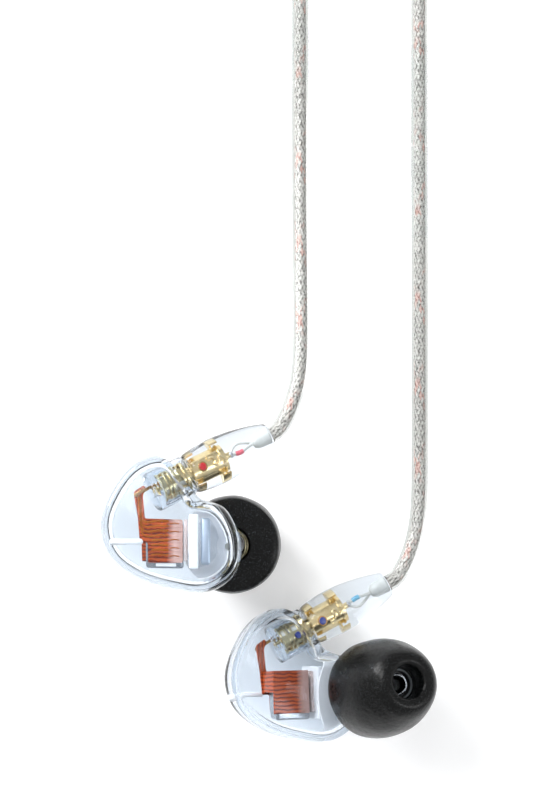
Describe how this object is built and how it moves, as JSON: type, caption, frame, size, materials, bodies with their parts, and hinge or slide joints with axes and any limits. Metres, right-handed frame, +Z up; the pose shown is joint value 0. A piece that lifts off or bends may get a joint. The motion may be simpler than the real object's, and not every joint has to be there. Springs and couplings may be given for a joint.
{
  "type": "in ear monitors",
  "caption": "Clear in-ear monitors with foam sleeves, swivelling push-on cable connectors, braided clear leads, a slider, and a coiled cable ending in a 3.5 mm plug.",
  "frame": {"origin": "centre of the two earphones on the surface they lie on, at its height", "axes": "+Z up from the surface, +Y the way the cables leave, +X from the right earphone towards the left one"},
  "size_m": [0.0491, 0.1743, 0.0239],
  "materials": {
    "clear_shell": "gloss",
    "clear_nozzle": "gloss",
    "clear_overmould": "gloss",
    "clear_slider": "gloss",
    "clear_split": "gloss",
    "gold_plate": "polished",
    "brass_ring": "satin",
    "steel_can": "satin",
    "white_silicone": "satin",
    "grey_can": "satin",
    "flex_film": "gloss",
    "white_dielectric": "satin",
    "damper_mesh": "matte",
    "black_foam": "matte",
    "black_core": "satin",
    "red_mark": "satin",
    "blue_mark": "satin",
    "braided_cable": "gloss",
    "shrink_tube": "gloss",
    "black_tie": "satin",
    "black_grip": "satin",
    "black_insulator": "satin"
  },
  "bodies": {
    "cable": {"right_connector_housing": "clear_overmould", "right_connector_shell": "gold_plate", "right_connector_insulator": "white_dielectric", "right_connector_pin": "gold_plate", "right_id_dot": "red_mark", "right_lead": "braided_cable", "right_lead_upper": "braided_cable", "right_shrink_1": "shrink_tube", "right_shrink_2": "shrink_tube", "left_connector_housing": "clear_overmould", "left_connector_shell": "gold_plate", "left_connector_insulator": "white_dielectric", "left_connector_pin": "gold_plate", "left_id_dot": "blue_mark", "left_lead": "braided_cable", "left_lead_upper": "braided_cable", "left_shrink_1": "shrink_tube", "left_shrink_2": "shrink_tube", "cable_coil": "braided_cable", "cable_tie_1": "black_tie", "cable_tie_2": "black_tie", "y_split": "clear_split", "main_lead_tail": "braided_cable", "plug_housing": "black_grip", "plug_sleeve": "gold_plate", "plug_insulator": "black_insulator", "plug_ring": "gold_plate", "plug_tip": "gold_plate"},
    "right_ring": {"right_snap_ring": "gold_plate"},
    "right_earphone": {"right_outer_shell": "clear_shell", "right_inner_shell": "clear_shell", "right_woofer": "steel_can", "right_driver_boot": "white_silicone", "right_tweeter": "grey_can", "right_flex_circuit": "flex_film", "right_socket_shell": "gold_plate", "right_socket_insulator": "white_dielectric", "right_socket_pin": "gold_plate", "right_nozzle": "clear_nozzle", "right_nozzle_ring": "brass_ring", "right_damper": "damper_mesh"},
    "right_sleeve": {"right_foam_sleeve": "black_foam", "right_sleeve_core": "black_core"},
    "left_ring": {"left_snap_ring": "gold_plate"},
    "left_earphone": {"left_outer_shell": "clear_shell", "left_inner_shell": "clear_shell", "left_woofer": "steel_can", "left_driver_boot": "white_silicone", "left_tweeter": "grey_can", "left_flex_circuit": "flex_film", "left_socket_shell": "gold_plate", "left_socket_insulator": "white_dielectric", "left_socket_pin": "gold_plate", "left_nozzle": "clear_nozzle", "left_nozzle_ring": "brass_ring", "left_damper": "damper_mesh"},
    "left_sleeve": {"left_foam_sleeve": "black_foam", "left_sleeve_core": "black_core"},
    "slider": {"cinch_slider": "clear_slider"}
  },
  "joints": [
    {"name": "right_swivel", "type": "hinge", "parent": "cable", "child": "right_ring", "pos_m": [-0.0105, 0.01427, 0.01682], "axis": [0.8645, 0.4177, -0.2794], "continuous": true},
    {"name": "right_unplug", "type": "slide", "parent": "right_ring", "child": "right_earphone", "axis": [-0.8645, -0.4177, 0.2794], "range_m": [0, 0.006]},
    {"name": "right_sleeve_pull", "type": "slide", "parent": "right_earphone", "child": "right_sleeve", "axis": [0, 0, -1], "range_m": [0, 0.01]},
    {"name": "left_swivel", "type": "hinge", "parent": "cable", "child": "left_ring", "pos_m": [0.00493, -0.00578, 0.0062], "axis": [0.8674, 0.4545, -0.2025], "range_deg": [-45, 90]},
    {"name": "left_unplug", "type": "slide", "parent": "left_ring", "child": "left_earphone", "axis": [-0.8674, -0.4545, 0.2025], "range_m": [0, 0.006]},
    {"name": "left_sleeve_pull", "type": "slide", "parent": "left_earphone", "child": "left_sleeve", "axis": [0.4418, 0.1646, 0.8819], "range_m": [0, 0.01]},
    {"name": "slider_travel", "type": "slide", "parent": "cable", "child": "slider", "axis": [0, 1, 0], "range_m": [0, 0.009]}
  ]
}
